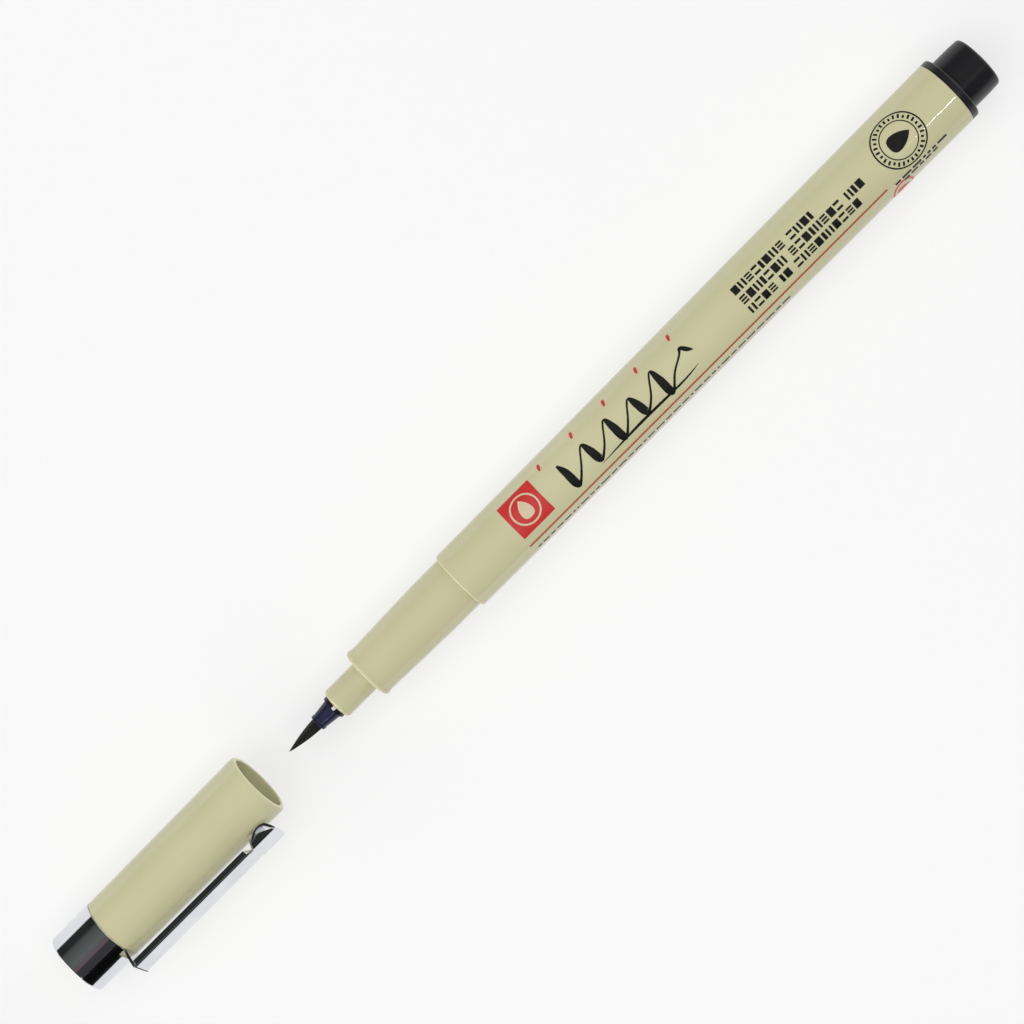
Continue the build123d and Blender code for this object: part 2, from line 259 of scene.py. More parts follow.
def swing_to_clip(piece):
    """Turn a piece modelled on top of the cap round to the clip's side."""
    start_fresh()
    piece.select_set(True)
    bpy.context.view_layer.objects.active = piece
    piece.rotation_euler = (clip_turn, 0, 0)
    bpy.ops.object.transform_apply(location=True, rotation=True, scale=True)


def hand_over(piece, body, slot, material, *stands_for):
    """Give a finished piece its material and its body, and hide the nodes that it stands for."""
    piece.data.materials.clear()
    piece.data.materials.append(material)
    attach(piece, body)
    if stands_for:
        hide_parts(*stands_for)
    return piece


# ---------------------------------------------------------------- material building
class Finish:
    """A material being built: its nodes, its links and its shader."""

    def __init__(self, name, **sockets):
        self.material = bpy.data.materials.new(name)
        self.material.use_nodes = True
        self.tree = self.material.node_tree
        self.shader = self.tree.nodes["Principled BSDF"]
        for socket, value in sockets.items():
            self.shader.inputs[socket.replace("_", " ")].default_value = value
        self.place = self.add("ShaderNodeTexCoord").outputs["Object"]

    def add(self, kind, links=None, **settings):
        node = self.tree.nodes.new(kind)
        for key, value in settings.items():
            if hasattr(node, key):
                setattr(node, key, value)
            else:
                node.inputs[key.replace("_", " ")].default_value = value
        for key, source in (links or {}).items():
            self.tree.links.new(source, node.inputs[key])
        return node

    def stretch(self, x, y, z):
        """Object coordinates scaled per axis."""
        return self.add("ShaderNodeMapping", {"Vector": self.place}, Scale=(x, y, z)).outputs["Vector"]

    def noise(self, scale, detail=4.0, roughness=0.5, vector=None):
        links = {"Vector": vector or self.place}
        node = self.add("ShaderNodeTexNoise", links, Scale=scale, Detail=detail, Roughness=roughness)
        return node.outputs["Fac"]

    def remap(self, source, low, high, from_low=0.3, from_high=0.7):
        node = self.add("ShaderNodeMapRange", {"Value": source})
        node.inputs["From Min"].default_value = from_low
        node.inputs["From Max"].default_value = from_high
        node.inputs["To Min"].default_value = low
        node.inputs["To Max"].default_value = high
        return node.outputs["Result"]

    def blend_colours(self, factor, first, second):
        node = self.add("ShaderNodeMix", data_type="RGBA")
        self.tree.links.new(factor, node.inputs["Factor"])
        node.inputs[6].default_value = (*first, 1)
        node.inputs[7].default_value = (*second, 1)
        return node.outputs[2]

    def colour(self, source):
        self.tree.links.new(source, self.shader.inputs["Base Color"])

    def roughness(self, source):
        self.tree.links.new(source, self.shader.inputs["Roughness"])

    def relief(self, *layers):
        """Bump from (height, distance in metres) layers, one on the other."""
        normal = None
        for height, distance in layers:
            links = {"Height": height}
            if normal:
                links["Normal"] = normal
            normal = self.add("ShaderNodeBump", links, Strength=1.0, Distance=distance).outputs["Normal"]
        self.tree.links.new(normal, self.shader.inputs["Normal"])


def cream_plastic():
    """Moulded cream plastic: faint clouding, orange peel, hairline handling marks along the barrel."""
    f = Finish("cream_plastic", Subsurface_Weight=0.12, Subsurface_Scale=0.0006, IOR=1.47)
    f.shader.inputs["Subsurface Radius"].default_value = (1.0, 0.85, 0.5)
    clouds = f.noise(70, 3)
    f.colour(f.blend_colours(f.remap(clouds, 0, 1), (0.575, 0.545, 0.335), (0.605, 0.578, 0.365)))
    marks = f.noise(900, 5, 0.7, f.stretch(0.06, 1, 1))
    f.roughness(f.remap(marks, 0.07, 0.10))
    f.relief((f.noise(1400, 2), 0.0000007))
    return f.material


def black_plastic():
    f = Finish("black_plastic", IOR=1.40)
    clouds = f.noise(160, 3)
    f.colour(f.blend_colours(f.remap(clouds, 0, 1), (0.010, 0.010, 0.011), (0.017, 0.017, 0.019)))
    marks = f.noise(1100, 5, 0.7, f.stretch(0.15, 1, 1))
    f.roughness(f.remap(marks, 0.29, 0.33))
    f.relief((f.noise(1800, 2), 0.0000025))
    return f.material


def navy_plastic():
    f = Finish("navy_plastic", IOR=1.42, Subsurface_Weight=0.25, Subsurface_Scale=0.0005)
    f.shader.inputs["Subsurface Radius"].default_value = (0.3, 0.35, 1.0)
    clouds = f.noise(700, 3, 0.5, f.stretch(0.3, 1, 1))
    f.colour(f.blend_colours(f.remap(clouds, 0, 1), (0.013, 0.014, 0.036), (0.025, 0.025, 0.066)))
    f.roughness(f.remap(f.noise(2500, 3), 0.10, 0.16))
    f.relief((f.noise(2600, 2), 0.0000020))
    return f.material


def white_plastic():
    f = Finish("white_plastic", IOR=1.49, Subsurface_Weight=0.2, Subsurface_Scale=0.0008)
    f.colour(f.blend_colours(f.remap(f.noise(300, 3), 0, 1), (0.70, 0.69, 0.64), (0.78, 0.77, 0.72)))
    f.roughness(f.remap(f.noise(1500, 3), 0.38, 0.5))
    f.relief((f.noise(1600, 2), 0.000002))
    return f.material


def chrome():
    f = Finish("chrome", Metallic=1.0)
    clouds = f.noise(220, 2)
    f.colour(f.blend_colours(f.remap(clouds, 0, 1), (0.71, 0.725, 0.755), (0.78, 0.79, 0.815)))
    marks = f.noise(2200, 5, 0.75, f.stretch(0.05, 1, 1))
    f.roughness(f.remap(marks, 0.045, 0.11))
    f.relief((f.noise(500, 2), 0.0000012), (marks, 0.0000004))
    return f.material


def ink_soaked_bristle():
    f = Finish("ink_soaked_bristle", IOR=1.45)
    strands = f.noise(9000, 3, 0.6, f.stretch(0.03, 1, 1))
    f.colour(f.blend_colours(f.remap(strands, 0, 1), (0.006, 0.006, 0.006), (0.020, 0.019, 0.018)))
    f.roughness(f.remap(strands, 0.35, 0.6))
    f.relief((strands, 0.000012))
    return f.material


def ink_soaked_fibre():
    f = Finish("ink_soaked_fibre", Roughness=0.9)
    strands = f.noise(3500, 4, 0.6, f.stretch(0.05, 1, 1))
    f.colour(f.blend_colours(f.remap(strands, 0, 1), (0.010, 0.010, 0.012), (0.06, 0.06, 0.07)))
    f.relief((strands, 0.00002))
    return f.material


def clear_film():
    f = Finish("clear_film", Roughness=0.15, IOR=1.5, Transmission_Weight=0.8)
    f.colour(f.blend_colours(f.remap(f.noise(400, 3), 0, 1), (0.80, 0.80, 0.80), (0.92, 0.92, 0.92)))
    f.relief((f.noise(300, 2), 0.00001))
    return f.material


def print_ink(name, thin, full, roughness=0.35):
    """Screen-printed ink: the base shows a little where the film is thin, and the edges are grainy."""
    f = Finish(name, IOR=1.47)
    f.colour(f.blend_colours(f.remap(f.noise(2600, 4, 0.65), 0, 1), thin, full))
    f.roughness(f.remap(f.noise(1800, 3), roughness - 0.06, roughness + 0.08))
    f.relief((f.noise(3000, 3), 0.000002))
    return f.material


CREAM = cream_plastic()
BLACK = black_plastic()
NAVY = navy_plastic()
WHITE = white_plastic()
CHROME = chrome()
BRISTLE = ink_soaked_bristle()
FIBRE = ink_soaked_fibre()
FILM = clear_film()
RED_INK = print_ink("red_ink", (0.50, 0.040, 0.035), (0.62, 0.030, 0.028))
RUST_INK = print_ink("rust_ink", (0.37, 0.088, 0.034), (0.44, 0.070, 0.024))
BLACK_INK = print_ink("black_ink", (0.014, 0.013, 0.012), (0.007, 0.007, 0.007), 0.3)
CREAM_INK = print_ink("cream_ink", (0.62, 0.50, 0.33), (0.68, 0.57, 0.38))


# ---------------------------------------------------------------- the pen
def barrel_radius(x):
    return barrel_front_r + barrel_taper * (x - seat_x)


def make_barrel():
    front_edge, rear_edge = 0.34 * MM, 0.10 * MM
    barrel = turn(
        "barrel_shell",
        [
            (seat_x, barrel_bore_r),
            (seat_x, barrel_front_r),
            (barrel_rear_x, barrel_rear_r),
            (barrel_rear_x, barrel_bore_r),
            (seat_x, barrel_bore_r),
        ],
        [(seat_x, barrel_front_r, front_edge), (barrel_rear_x, barrel_rear_r, rear_edge)],
    )
    hand_over(barrel, "pen", "cream_plastic", CREAM, "barrel")


def make_grip():
    grip_front_x = nose_front_x + 5.98 * MM
    lip_rear_x = grip_front_x + 0.84 * MM
    land_front_x = seat_x - 5.0 * MM
    stem_rear_x = span("grip_section")[1]
    land_r, front_r, lip_r = grip_land_r, 3.855 * MM, 4.015 * MM
    nose_r, nose_tip_r, nose_tip_length = 2.375 * MM, 1.9 * MM, 0.45 * MM
    bore_r = 1.32 * MM
    stem_r = barrel_bore_r - 0.02 * MM
    grip = turn(
        "grip_body",
        [
            (nose_front_x, bore_r),
            (nose_front_x, nose_tip_r),
            (nose_front_x + nose_tip_length * 0.35, nose_r - 0.17 * MM),
            (nose_front_x + nose_tip_length, nose_r),
            (grip_front_x - 0.12 * MM, nose_r),
            (grip_front_x, nose_r + 0.12 * MM),
            (grip_front_x, lip_r),
            (grip_front_x + 0.52 * MM, lip_r),
            (grip_front_x + 0.66 * MM, lip_r - 0.035 * MM),
            (lip_rear_x, front_r + 0.065 * MM),
            (lip_rear_x + 0.25 * MM, front_r + 0.02 * MM),
            (lip_rear_x + 0.55 * MM, front_r + 0.012 * MM),
            (land_front_x, land_r),
            (seat_x, land_r),
            (seat_x, stem_r),
            (stem_rear_x, stem_r),
            (stem_rear_x, bore_r),
            (nose_front_x, bore_r),
        ],
        [
            (nose_front_x, nose_tip_r, 0.10 * MM),
            (grip_front_x, lip_r, 0.46 * MM),
        ],
    )
    hand_over(grip, "pen", "cream_plastic", CREAM, "grip_section")


def make_holder():
    """The navy holder: a short collar at the mouth, then a cone, then the stem inside the nose."""
    mouth_r, bore_r = 1.225 * MM, 1.0 * MM
    rear_x = ring_front_x
    stem_r = 1.30 * MM
    stem_rear_x = span("brush_holder")[1]
    collar_x = holder_front_x + 0.42 * MM
    holder = turn(
        "brush_holder_cone",
        [
            (stem_rear_x, bore_r * 0.6),
            (holder_front_x + 1.2 * MM, bore_r * 0.6),
            (holder_front_x + 1.0 * MM, bore_r),
            (holder_front_x, bore_r),
            (holder_front_x, mouth_r),
            (collar_x, mouth_r + 0.03 * MM),
            (collar_x + 0.10 * MM, mouth_r - 0.03 * MM),
            (rear_x - 0.35 * MM, holder_rear_r - 0.06 * MM),
            (rear_x, holder_rear_r),
            (rear_x, stem_r),
            (stem_rear_x, stem_r),
            (stem_rear_x, bore_r * 0.6),
        ],
        [(holder_front_x, mouth_r, 0.06 * MM), (rear_x, holder_rear_r, 0.08 * MM)],
    )
    hand_over(holder, "pen", "navy_plastic", NAVY, "brush_holder")


def make_vent_ring():
    ring_bore_r = 1.32 * MM
    ring = turn(
        "vent_ring_notched",
        [
            (ring_front_x, ring_bore_r),
            (ring_front_x, ring_r),
            (ring_rear_x, ring_r),
            (ring_rear_x, ring_bore_r),
            (ring_front_x, ring_bore_r),
        ],
    )
    start_fresh()
    notch_middle = ((ring_front_x + ring_rear_x) / 2, 0, ring_r)
    bpy.ops.mesh.primitive_cube_add(size=1, location=notch_middle, scale=(2 * MM, 0.8 * MM, 0.6 * MM))
    cutter = begin("notch_cutter")
    bpy.ops.object.mode_set(mode="OBJECT")
    cut(ring, cutter)
    bevel = ring.modifiers.new("edges", "BEVEL")
    bevel.width = 0.05 * MM
    bevel.segments = 2
    bevel.limit_method = "ANGLE"
    finish_modifiers(ring)
    smooth(ring)
    hand_over(ring, "pen", "black_plastic", BLACK, "vent_ring")
    make_notch_highlight_piece()


def make_notch_highlight_piece():
    """A pale piece that fills the ring's notch: its pale colour is a painted highlight, standing for the bright
    spot on the collar there.
    """
    start_fresh()
    key_r = ring_r - 0.07 * MM
    length, width, height = ring_rear_x - ring_front_x - 0.04 * MM, 0.52 * MM, 0.24 * MM
    middle = ((ring_front_x + ring_rear_x) / 2, 0, key_r - height / 2)
    bpy.ops.mesh.primitive_cube_add(size=1, location=middle, scale=(length, width, height))
    key = begin("notch_key")
    bpy.ops.mesh.bevel(offset=0.04 * MM, segments=3, affect="EDGES")
    bpy.ops.object.mode_set(mode="OBJECT")
    smooth(key)
    # The white plastic here paints the highlight at the notch.
    hand_over(key, "pen", "white_plastic", WHITE)


BRISTLE_COUNT = 150
BRISTLE_STATIONS = 12


def brush_profile(share):
    """The brush's radius at a share of its free length, from its root (0) to its tip (1)."""
    share = min(max(share, 0.0), 1.0)
    return brush_r * (1 - share**1.55) ** 0.92


def make_brush():
    """A core with a skin of fine bristles that lie along it and gather at the tip."""
    length = holder_front_x - brush_tip_x
    root_x = holder_front_x + 0.7 * MM
    core_scale = 0.93
    steps = 16
    outline = [(root_x, brush_r * 0.8)] + [
        (holder_front_x - length * s / steps, max(brush_profile(s / steps) * core_scale, 0.008 * MM))
        for s in range(steps)
    ]
    outline.append((brush_tip_x + 0.12 * MM, 0.006 * MM))
    brush = turn("brush", outline, sides=40, closed=True)

    strands = make_bristles(length)
    start_fresh()
    for piece in strands:
        piece.select_set(True)
    brush.select_set(True)
    bpy.context.view_layer.objects.active = brush
    bpy.ops.object.join()
    smooth(brush, 60)
    brush.data.materials.clear()
    brush.data.materials.append(BRISTLE)
    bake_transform(brush)
    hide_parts("brush_tip")


def make_bristles(length):
    """The bristles round the core, each a copy of one, laid in its own place."""
    pick_random = random.Random(7)
    template = make_bristle()
    strands = []
    for number in range(BRISTLE_COUNT):
        around = 2 * math.pi * (number + pick_random.uniform(-0.4, 0.4)) / BRISTLE_COUNT
        lean = pick_random.uniform(-0.22, 0.22)
        early = pick_random.uniform(0.0, 0.16) if number % 3 else pick_random.uniform(0.0, 0.04)
        thickness = pick_random.uniform(0.8, 1.25)
        strand = template.copy()
        strand.data = template.data.copy()
        bpy.context.collection.objects.link(strand)
        strands.append(strand)
        lay_bristle(strand, around, lean, early, thickness, length)
    bpy.data.objects.remove(template)
    return strands


def make_bristle():
    """One straight bristle, five-sided, in units of one station, to be copied and laid."""
    start_fresh()
    bpy.ops.mesh.primitive_circle_add(
        vertices=5, radius=1, location=(0, 0, 0), rotation=(0, math.pi / 2, 0)
    )
    strand = begin("bristle")
    for _ in range(BRISTLE_STATIONS):
        bpy.ops.mesh.extrude_region_move(
            TRANSFORM_OT_translate={"value": (-1, 0, 0), "orient_type": "GLOBAL"}
        )
    close_ends(strand, 0, -BRISTLE_STATIONS)
    bpy.ops.mesh.select_all(action="SELECT")
    bpy.ops.mesh.normals_make_consistent(inside=False)
    bpy.ops.object.mode_set(mode="OBJECT")
    return strand


def lay_bristle(strand, around, lean, early, thickness, length):
    """Lay a bristle on the brush's skin: it follows the profile, leans a little and may end early."""
    strand_r = 0.030 * MM * thickness
    end_share = 1 - early
    for vertex in strand.data.vertices:
        share = max(0.0, -vertex.co.x / BRISTLE_STATIONS) * end_share
        angle = around + lean * share * share
        reach = brush_profile(share) * 0.965
        taper = 1 - 0.75 * (share / end_share) ** 3
        middle = Vector((0, math.sin(angle), math.cos(angle))) * reach
        across = Vector((0, vertex.co.y, vertex.co.z)) * strand_r * taper
        vertex.co = Vector((holder_front_x - length * share, 0, 0)) + middle + across


def make_tail_plug():
    flange_rear_x = barrel_rear_x + 1.15 * MM
    land_rear_x = flange_rear_x + 3.0 * MM
    end_r = 4.05 * MM
    bore_r = 2.63 * MM
    stem_front_x = span("tail_plug")[0]
    inner_end_x = spigot_end_x - 1.2 * MM
    stem_r = barrel_bore_r - 0.02 * MM
    plug = turn(
        "tail_plug_body",
        [
            (stem_front_x, bore_r),
            (stem_front_x, stem_r),
            (barrel_rear_x, stem_r),
            (barrel_rear_x, flange_r),
            (flange_rear_x, flange_r),
            (flange_rear_x, spigot_r),
            (land_rear_x, spigot_r),
            (spigot_end_x, end_r),
            (spigot_end_x, end_r * 0.42),
            (spigot_end_x - 0.12 * MM, end_r * 0.38),
            (spigot_end_x - 0.12 * MM, 0.3 * MM),
            (inner_end_x, 0.3 * MM),
            (inner_end_x, bore_r),
            (stem_front_x, bore_r),
        ],
        [
            (barrel_rear_x, flange_r, 0.10 * MM),
            (flange_rear_x, flange_r, 0.32 * MM),
            (flange_rear_x, spigot_r, 0.10 * MM),
            (spigot_end_x, end_r, 0.40 * MM),
        ],
    )
    hand_over(plug, "pen", "black_plastic", BLACK, "tail_plug")


# ---------------------------------------------------------------- the prints on the barrel
PRINT_LIFT = 0.012 * MM
PRINT_THICKNESS = 0.020 * MM  # its under side lies just inside the plastic


def wrap_on_barrel(print_piece, lift=PRINT_LIFT):
    """Roll a flat print round the barrel: its y becomes an arc's length from the top line."""
    for vertex in print_piece.data.vertices:
        x, arc, height = vertex.co
        r = barrel_radius(x) + lift + height
        angle = arc / barrel_radius(x)
        vertex.co = (x, r * math.sin(angle), r * math.cos(angle))
    smooth(print_piece, 60)


def flat_patch(name, x, arc, length, width, along=2, across=12, corner=0.0):
    """A flat rectangle to print, with rows enough to wrap."""
    start_fresh()
    bpy.ops.mesh.primitive_grid_add(
        x_subdivisions=along, y_subdivisions=across, size=1, location=(x, arc, 0)
    )
    patch = begin(name)
    bpy.ops.transform.resize(value=(length, width, 1), center_override=(x, arc, 0))
    if corner:
        pick(
            patch,
            "verts",
            lambda v: abs(abs(v.co.x - x) - length / 2) < 1e-7
            and abs(abs(v.co.y - arc) - width / 2) < 1e-7,
        )
        bpy.ops.mesh.bevel(offset=corner, segments=4, affect="VERTICES")
    bpy.ops.object.mode_set(mode="OBJECT")
    return patch


def join_prints(name, parts):
    start_fresh()
    for part in parts:
        part.select_set(True)
    bpy.context.view_layer.objects.active = parts[0]
    if len(parts) > 1:
        bpy.ops.object.join()
    parts[0].name = name
    parts[0].data.name = name
    return parts[0]


def print_on_barrel(name, parts, ink, lift=PRINT_LIFT):
    """Print flat parts on the barrel, in an ink that no slot of the record repaints."""
    piece = join_prints(name, parts)
    film = piece.modifiers.new("film", "SOLIDIFY")
    film.thickness = PRINT_THICKNESS
    film.offset = 0
    finish_modifiers(piece)
    wrap_on_barrel(piece, lift - PRINT_THICKNESS / 2)
    hand_over(piece, "pen", None, ink)


def stroke(name, points, widths, steps=28, rows=4):
    """A brush stroke: a ribbon along a smooth line, swelling and thinning between the widths given."""
    start_fresh()
    bpy.ops.mesh.primitive_grid_add(x_subdivisions=steps, y_subdivisions=rows, size=1)
    ribbon = begin(name)
    bpy.ops.object.mode_set(mode="OBJECT")
    for vertex in ribbon.data.vertices:
        share, side = vertex.co.x + 0.5, vertex.co.y * 2
        middle, ahead = on_curve(points, share), on_curve(points, min(share + 0.01, 1.01))
        run = ahead - middle
        normal = Vector((-run.y, run.x)).normalized()
        edge = middle + normal * side * on_curve([(w, 0) for w in widths], share).x / 2
        vertex.co = (edge.x, edge.y, 0)
    return ribbon


def on_curve(points, share):
    """A point of the Catmull-Rom curve through the points, at a share of its way."""
    last = len(points) - 1
    place = max(0.0, share) * last
    number = min(int(place), last - 1)
    t = place - number
    p = [Vector(points[min(max(number + k, 0), last)]) for k in (-1, 0, 1, 2)]
    return 0.5 * (
        2 * p[1]
        + (p[2] - p[0]) * t
        + (2 * p[0] - 5 * p[1] + 4 * p[2] - p[3]) * t**2
        + (3 * p[1] - p[0] - 3 * p[2] + p[3]) * t**3
    )


def drop(name, tip, round_end, r):
    """An ink drop: a point at one end, half a circle at the other."""
    length = (Vector(round_end) - Vector(tip)).length
    samples = 32
    widths = []
    for number in range(samples + 1):
        along = length * number / samples
        if along > length - r:
            widths.append(2 * math.sqrt(max(r**2 - (along - length + r) ** 2, 0)))
        else:
            widths.append(2 * r * math.sin(math.pi / 2 * along / (length - r)) ** 1.25)
    return stroke(name, [tip, round_end], [max(w, 0.01 * MM) for w in widths], 40, 12)


def ring_print(name, x, arc, r, width):
    """A flat ring to print."""
    start_fresh()
    bpy.ops.mesh.primitive_circle_add(vertices=96, radius=r, location=(x, arc, 0))
    ring = begin(name)
    bpy.ops.mesh.extrude_region_move()
    factor = (r - width) / r
    bpy.ops.transform.resize(value=(factor, factor, 1), center_override=(x, arc, 0))
    bpy.ops.object.mode_set(mode="OBJECT")
    return ring


def print_red_square():
    """A red square with a plain ring and an ink drop in it."""
    x, arc, size = 13.7 * MM, 0.9 * MM, 5.9 * MM
    square = flat_patch("square", x, arc, size, size, 24, 24, 0.12 * MM)
    print_on_barrel("print_square", [square], RED_INK)
    ring = ring_print("ring", x, arc, 2.25 * MM, 0.26 * MM)
    inside = drop("drop", (x, arc + 1.55 * MM), (x, arc - 1.35 * MM), 0.98 * MM)
    print_on_barrel("print_drop", [ring, inside], CREAM_INK, 2 * PRINT_LIFT)


def print_rust_line():
    arc, width = -3.62 * MM, 0.33 * MM
    first, last = 10.5 * MM, 78.5 * MM
    line = flat_patch("line", (first + last) / 2, arc, last - first, width, 40, 2)
    print_on_barrel("print_line", [line], RUST_INK)


def print_red_ticks():
    """Five small slanted marks."""
    arc, half = 3.92 * MM, 0.58 * MM
    ticks = []
    for number in range(5):
        x = (18.9 + 6.2 * number) * MM
        ends = [(x - 0.15 * MM, arc - half), (x, arc), (x + 0.15 * MM, arc + half)]
        ticks.append(stroke("tick", ends, [0.22 * MM, 0.50 * MM, 0.36 * MM], 8))
    print_on_barrel("print_ticks", ticks, RED_INK)


WAVE_HEIGHTS = (1.0, 0.82, 0.95, 0.78, 1.05)
WAVE_SHAPE = (  # share of the wave's pitch, level from -1 to 1, width of the line
    (0.0, 1.0, 0.30),
    (0.22, 0.25, 0.92),
    (0.42, -0.75, 1.02),
    (0.55, -1.0, 0.42),
    (0.78, -0.2, 0.26),
)
LAST_FLICK = ((1.0, 0.9, 0.30), (1.6, 1.5, 0.5), (2.3, 0.7, 0.62), (2.9, 0.1, 0.05))
SWEEP = ((25.5, -2.3), (33, -2.02), (41, -2.12), (44.2, -1.8))
SWEEP_WIDTHS = (0.05, 0.42, 0.3, 0.04)


def print_brush_waves():
    """A free brush line in waves, thick on the way down and thin on the way up, and a sweep under it."""
    first, pitch, height = 19.9, 4.45, 2.05
    slant, boldness = 0.42, 1.15
    points, widths = [], []
    for number, wave_height in enumerate(WAVE_HEIGHTS):
        x = first + pitch * number
        reach = height * wave_height
        for share, level, width in WAVE_SHAPE:
            points.append(((x + pitch * share + slant * level * reach) * MM, level * reach * MM))
            widths.append(boldness * width * MM)
    end = first + pitch * len(WAVE_HEIGHTS)
    for ahead, arc, width in LAST_FLICK:
        points.append(((end + ahead) * MM, arc * MM))
        widths.append(width * MM)
    line = stroke("waves", points, widths, 420, 4)
    under = stroke("sweep", [(a * MM, b * MM) for a, b in SWEEP], [w * MM for w in SWEEP_WIDTHS], 60, 3)
    print_on_barrel("print_waves", [line, under], BLACK_INK)


def sign_bars(x, arc, shape, tall):
    """The flat bars of one small sign: a block, two posts, two shelves or three shelves."""
    long, thick = 1.02, 0.34
    reach = (tall - thick) / 2
    return {
        "block": [(x + long / 2, arc, long, tall)],
        "half": [(x + long / 4, arc, long / 2, tall)],
        "posts": [(x + thick / 2, arc, thick, tall), (x + long - thick / 2, arc, thick, tall)],
        "shelves": [(x + long / 2, arc + level * reach, long, thick) for level in (-1, 1)],
        "stack": [(x + long / 2, arc + level * reach, long, thick * 0.8) for level in (-1, 0, 1)],
    }[shape]


SIGN_ROWS = (  # each row's place round the barrel, and its signs; a dash is a gap
    (1.72, "block posts stack shelves half block posts stack - shelves posts block half"),
    (
        0.0,
        "stack block posts half shelves block posts - stack shelves block half posts stack block "
        "shelves - posts half block",
    ),
    (
        -1.72,
        "posts shelves block stack - half block - shelves posts stack block half posts block "
        "shelves stack block",
    ),
)


def print_sign_rows():
    """Three rows of blocks and bars, with no letters in them."""
    start, tall, pitch, narrow, gap = 54.1, 1.22, 1.28, 0.77, 0.75
    bars = []
    for arc, signs in SIGN_ROWS:
        x = start
        for shape in signs.split():
            if shape == "-":
                x += gap
                continue
            for bar_x, bar_arc, length, width in sign_bars(x, arc, shape, tall):
                bars.append(flat_patch("bar", bar_x * MM, bar_arc * MM, length * MM, width * MM, 1, 4))
            x += narrow if shape == "half" else pitch
    print_on_barrel("print_sign_rows", bars, BLACK_INK)


def print_seal():
    """A plain seal: two rings, a circle of dashes and a drop."""
    x, arc = 84.1 * MM, 0.4 * MM
    seal = [
        ring_print("outer", x, arc, 4.0 * MM, 0.22 * MM),
        ring_print("inner", x, arc, 2.75 * MM, 0.16 * MM),
    ]
    seal.append(drop("seal_drop", (x + 1.95 * MM, arc), (x - 1.75 * MM, arc), 1.22 * MM))
    middle, dashes = Vector((x, arc)), 30
    for number in range(dashes):
        angle = 2 * math.pi * number / dashes
        out = Vector((math.cos(angle), math.sin(angle)))
        reach = 3.62 if number % 3 else 3.45
        seal.append(stroke("dash", [middle + out * 3.02 * MM, middle + out * reach * MM], [0.3 * MM] * 2, 3))
    print_on_barrel("print_seal", seal, BLACK_INK)


def print_small_dashes():
    """A row of small dashes round the side, beyond the line."""
    lengths = random.Random(3)
    dashes = []
    for first, last, arc in ((11.2, 58.0, -5.2), (79.8, 89.0, -4.15), (81.2, 87.6, -4.8)):
        x = first
        while x < last:
            length = lengths.uniform(0.35, 1.7)
            dashes.append(flat_patch("dash", (x + length / 2) * MM, arc * MM, length * MM, 0.40 * MM, 1, 3))
            x += length + 0.35
    print_on_barrel("print_dashes", dashes, BLACK_INK)


def print_side_mark():
    """A red ring and drop on the far side, seen only at the edge from above."""
    x, arc = 80.6 * MM, -6.4 * MM
    ring = ring_print("side_ring", x, arc, 1.9 * MM, 0.3 * MM)
    inside = drop("side_drop", (x + 1.2 * MM, arc), (x - 1.1 * MM, arc), 0.8 * MM)
    print_on_barrel("print_side_mark", [ring, inside], RED_INK)


def make_prints():
    print_red_square()
    print_side_mark()
    print_rust_line()
    print_red_ticks()
    print_brush_waves()
    print_sign_rows()
    print_seal()
    print_small_dashes()


# ---------------------------------------------------------------- the cap
def make_cap_tube():
    wall_bore_r = cap_mouth_r - 0.79 * MM
    rear_r, neck_r = 4.85 * MM, 4.6 * MM
    neck_front_x = ferrule_front_x + 0.02 * MM
    tube_end_x = span("cap_tube")[0]
    inner_r = outer_radius("inner_cap") + 0.02 * MM
    tube = turn(
        "cap_shell",
        [
            (inner_cap_mouth_x, inner_r),
            (inner_cap_mouth_x, wall_bore_r),
            (cap_mouth_x, wall_bore_r),
            (cap_mouth_x, cap_mouth_r),
            (neck_front_x, rear_r),
            (neck_front_x, neck_r),
            (tube_end_x, neck_r),
            (tube_end_x, inner_r),
            (inner_cap_mouth_x, inner_r),
        ],
        [
            (cap_mouth_x, wall_bore_r, 0.20 * MM),
            (cap_mouth_x, cap_mouth_r, 0.50 * MM),
            (neck_front_x, rear_r, 0.10 * MM),
        ],
    )
    hand_over(tube, "cap", "cream_plastic", CREAM, "cap_tube")


def make_ferrule():
    bore_r = ferrule_r - 0.3 * MM
    hole_r = disc_r + 0.02 * MM
    inner_end_x = ferrule_end_x + 0.58 * MM
    ferrule = turn(
        "ferrule",
        [
            (ferrule_front_x, bore_r),
            (ferrule_front_x, ferrule_r),
            (ferrule_end_x, ferrule_r),
            (ferrule_end_x, hole_r),
            (inner_end_x, hole_r),
            (inner_end_x, bore_r),
            (ferrule_front_x, bore_r),
        ],
        [
            (ferrule_front_x, ferrule_r, 0.07 * MM),
            (ferrule_end_x, ferrule_r, 0.24 * MM),
            (ferrule_end_x, hole_r, 0.08 * MM),
        ],
        sides=160,
    )
    start_fresh()
    notch_depth, notch_width = 1.0 * MM, 3.44 * MM
    bpy.ops.mesh.primitive_cube_add(
        size=1,
        location=(ferrule_front_x, 0, ferrule_r),
        scale=(2 * notch_depth, notch_width, 4 * MM),
    )
    cutter = begin("notch_cutter")
    bpy.ops.object.mode_set(mode="OBJECT")
    swing_to_clip(cutter)
    cut(ferrule, cutter)
    smooth(ferrule)
    hand_over(ferrule, "cap", "chrome", CHROME, "cap_ferrule")


